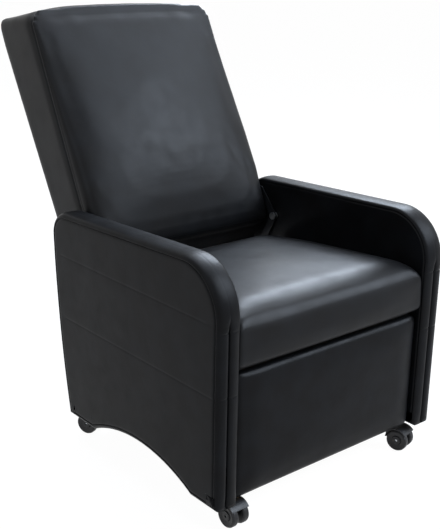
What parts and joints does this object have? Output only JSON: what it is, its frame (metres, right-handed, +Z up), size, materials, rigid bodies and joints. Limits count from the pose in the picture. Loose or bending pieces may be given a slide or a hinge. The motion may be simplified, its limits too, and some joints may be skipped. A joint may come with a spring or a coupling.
{
  "type": "reclining chair",
  "caption": "Push-back recliner with padded side panels, a leaning padded back, a linked folding footrest, an arched base and swivel casters.",
  "frame": {"origin": "on the floor, under the middle of the whole chair's box", "axes": "+Z up, -Y the front that a sitter's feet point to, +X the sitter's left, which is on the viewer's right"},
  "size_m": [0.64, 0.9234, 0.968],
  "materials": {
    "leatherette": "satin black grained",
    "leatherette_soft": "satin black grained",
    "plywood": "raw",
    "pine": "raw",
    "foam": "open cell",
    "webbing": "woven",
    "steel": "zinc plated",
    "black_steel": "satin black",
    "nylon": "moulded"
  },
  "bodies": {
    "base": {"left_side_frame": "plywood", "right_side_frame": "plywood", "left_side_cover": "leatherette", "right_side_cover": "leatherette", "front_rail": "pine", "rear_rail": "pine", "rear_panel": "leatherette", "caster_blocks": "pine", "caster_sockets": "steel", "frame_screws": "steel", "seat_frame": "pine", "seat_webbing": "webbing", "seat_foam": "foam", "seat_cushion": "leatherette_soft", "seat_screws": "steel", "left_mechanism_plate": "black_steel", "right_mechanism_plate": "black_steel", "link_pivot_pins": "steel", "back_pivot_bolts": "steel"},
    "backrest": {"back_frame": "pine", "back_webbing": "webbing", "back_foam": "foam", "back_cushion": "leatherette_soft", "back_rear_panel": "leatherette", "left_back_bracket": "black_steel", "right_back_bracket": "black_steel", "back_screws": "steel", "drive_pins": "steel"},
    "drive_rods": {"drive_rods": "black_steel"},
    "lower_links": {"left_lower_link": "black_steel", "right_lower_link": "black_steel", "cross_tube": "black_steel", "knee_rivets": "steel"},
    "guide_links": {"guide_links": "black_steel"},
    "upper_links": {"upper_links": "black_steel"},
    "upper_guides": {"upper_guides": "black_steel"},
    "footrest": {"left_footrest_bracket": "black_steel", "right_footrest_bracket": "black_steel", "footrest_board": "plywood", "footrest_pad": "leatherette", "footrest_rivets": "steel", "footrest_screws": "steel"},
    "caster_fl": {"caster_fl_housing": "nylon", "caster_fl_pins": "steel"},
    "caster_fl_wheel_left": {"caster_fl_wheel_left": "nylon"},
    "caster_fl_wheel_right": {"caster_fl_wheel_right": "nylon"},
    "caster_fr": {"caster_fr_housing": "nylon", "caster_fr_pins": "steel"},
    "caster_fr_wheel_left": {"caster_fr_wheel_left": "nylon"},
    "caster_fr_wheel_right": {"caster_fr_wheel_right": "nylon"},
    "caster_rl": {"caster_rl_housing": "nylon", "caster_rl_pins": "steel"},
    "caster_rl_wheel_left": {"caster_rl_wheel_left": "nylon"},
    "caster_rl_wheel_right": {"caster_rl_wheel_right": "nylon"},
    "caster_rr": {"caster_rr_housing": "nylon", "caster_rr_pins": "steel"},
    "caster_rr_wheel_left": {"caster_rr_wheel_left": "nylon"},
    "caster_rr_wheel_right": {"caster_rr_wheel_right": "nylon"}
  },
  "joints": [
    {"name": "back_recline", "type": "hinge", "parent": "base", "child": "backrest", "pos_m": [0, 0.02327, 0.455], "axis": [-1, 0, 0], "range_deg": [0, 35]},
    {"name": "drive_rod_turn", "type": "hinge", "parent": "backrest", "child": "drive_rods", "pos_m": [0, 0.07637, 0.35299], "axis": [-1, 0, 0], "range_deg": [-35, 0]},
    {"name": "lower_link_swing", "type": "hinge", "parent": "base", "child": "lower_links", "pos_m": [0, -0.30373, 0.3], "axis": [-1, 0, 0], "range_deg": [0, 90]},
    {"name": "guide_link_swing", "type": "hinge", "parent": "base", "child": "guide_links", "pos_m": [0, -0.3349, 0.318], "axis": [-1, 0, 0], "range_deg": [0, 90]},
    {"name": "upper_link_turn", "type": "hinge", "parent": "lower_links", "child": "upper_links", "pos_m": [0, -0.25973, 0.13579], "axis": [-1, 0, 0], "range_deg": [-90, 0]},
    {"name": "upper_guide_turn", "type": "hinge", "parent": "lower_links", "child": "upper_guides", "pos_m": [0, -0.27008, 0.17443], "axis": [-1, 0, 0], "range_deg": [-90, 0]},
    {"name": "footrest_turn", "type": "hinge", "parent": "upper_links", "child": "footrest", "pos_m": [0, -0.39873, 0.27], "axis": [-1, 0, 0], "range_deg": [0, 90]},
    {"name": "caster_fl_swivel", "type": "hinge", "parent": "base", "child": "caster_fl", "pos_m": [-0.25, -0.40573, 0.06], "axis": [0, 0, 1], "continuous": true},
    {"name": "caster_fl_roll_left", "type": "hinge", "parent": "caster_fl", "child": "caster_fl_wheel_left", "pos_m": [-0.25, -0.43373, 0.025], "axis": [1, 0, 0], "continuous": true},
    {"name": "caster_fl_roll_right", "type": "hinge", "parent": "caster_fl", "child": "caster_fl_wheel_right", "pos_m": [-0.25, -0.43373, 0.025], "axis": [1, 0, 0], "continuous": true},
    {"name": "caster_fr_swivel", "type": "hinge", "parent": "base", "child": "caster_fr", "pos_m": [0.25, -0.40573, 0.06], "axis": [0, 0, 1], "continuous": true},
    {"name": "caster_fr_roll_left", "type": "hinge", "parent": "caster_fr", "child": "caster_fr_wheel_left", "pos_m": [0.25677, -0.43289, 0.025], "axis": [0.9703, 0.2419, 0], "continuous": true},
    {"name": "caster_fr_roll_right", "type": "hinge", "parent": "caster_fr", "child": "caster_fr_wheel_right", "pos_m": [0.25677, -0.43289, 0.025], "axis": [0.9703, 0.2419, 0], "continuous": true},
    {"name": "caster_rl_swivel", "type": "hinge", "parent": "base", "child": "caster_rl", "pos_m": [-0.25, 0.04927, 0.06], "axis": [0, 0, 1], "continuous": true},
    {"name": "caster_rl_roll_left", "type": "hinge", "parent": "caster_rl", "child": "caster_rl_wheel_left", "pos_m": [-0.26049, 0.07523, 0.025], "axis": [-0.9272, -0.3746, 0], "continuous": true},
    {"name": "caster_rl_roll_right", "type": "hinge", "parent": "caster_rl", "child": "caster_rl_wheel_right", "pos_m": [-0.26049, 0.07523, 0.025], "axis": [-0.9272, -0.3746, 0], "continuous": true},
    {"name": "caster_rr_swivel", "type": "hinge", "parent": "base", "child": "caster_rr", "pos_m": [0.25, 0.04927, 0.06], "axis": [0, 0, 1], "continuous": true},
    {"name": "caster_rr_roll_left", "type": "hinge", "parent": "caster_rr", "child": "caster_rr_wheel_left", "pos_m": [0.24707, 0.07712, 0.025], "axis": [-0.9945, -0.1045, 0], "continuous": true},
    {"name": "caster_rr_roll_right", "type": "hinge", "parent": "caster_rr", "child": "caster_rr_wheel_right", "pos_m": [0.24707, 0.07712, 0.025], "axis": [-0.9945, -0.1045, 0], "continuous": true}
  ],
  "couplings": [
    {"joint": "drive_rod_turn", "follows": "back_recline", "ratio": -1},
    {"joint": "lower_link_swing", "follows": "back_recline", "ratio": 2.5714},
    {"joint": "guide_link_swing", "follows": "back_recline", "ratio": 2.5714},
    {"joint": "footrest_turn", "follows": "back_recline", "ratio": 2.5714},
    {"joint": "upper_link_turn", "follows": "back_recline", "ratio": -2.5714},
    {"joint": "upper_guide_turn", "follows": "back_recline", "ratio": -2.5714}
  ]
}
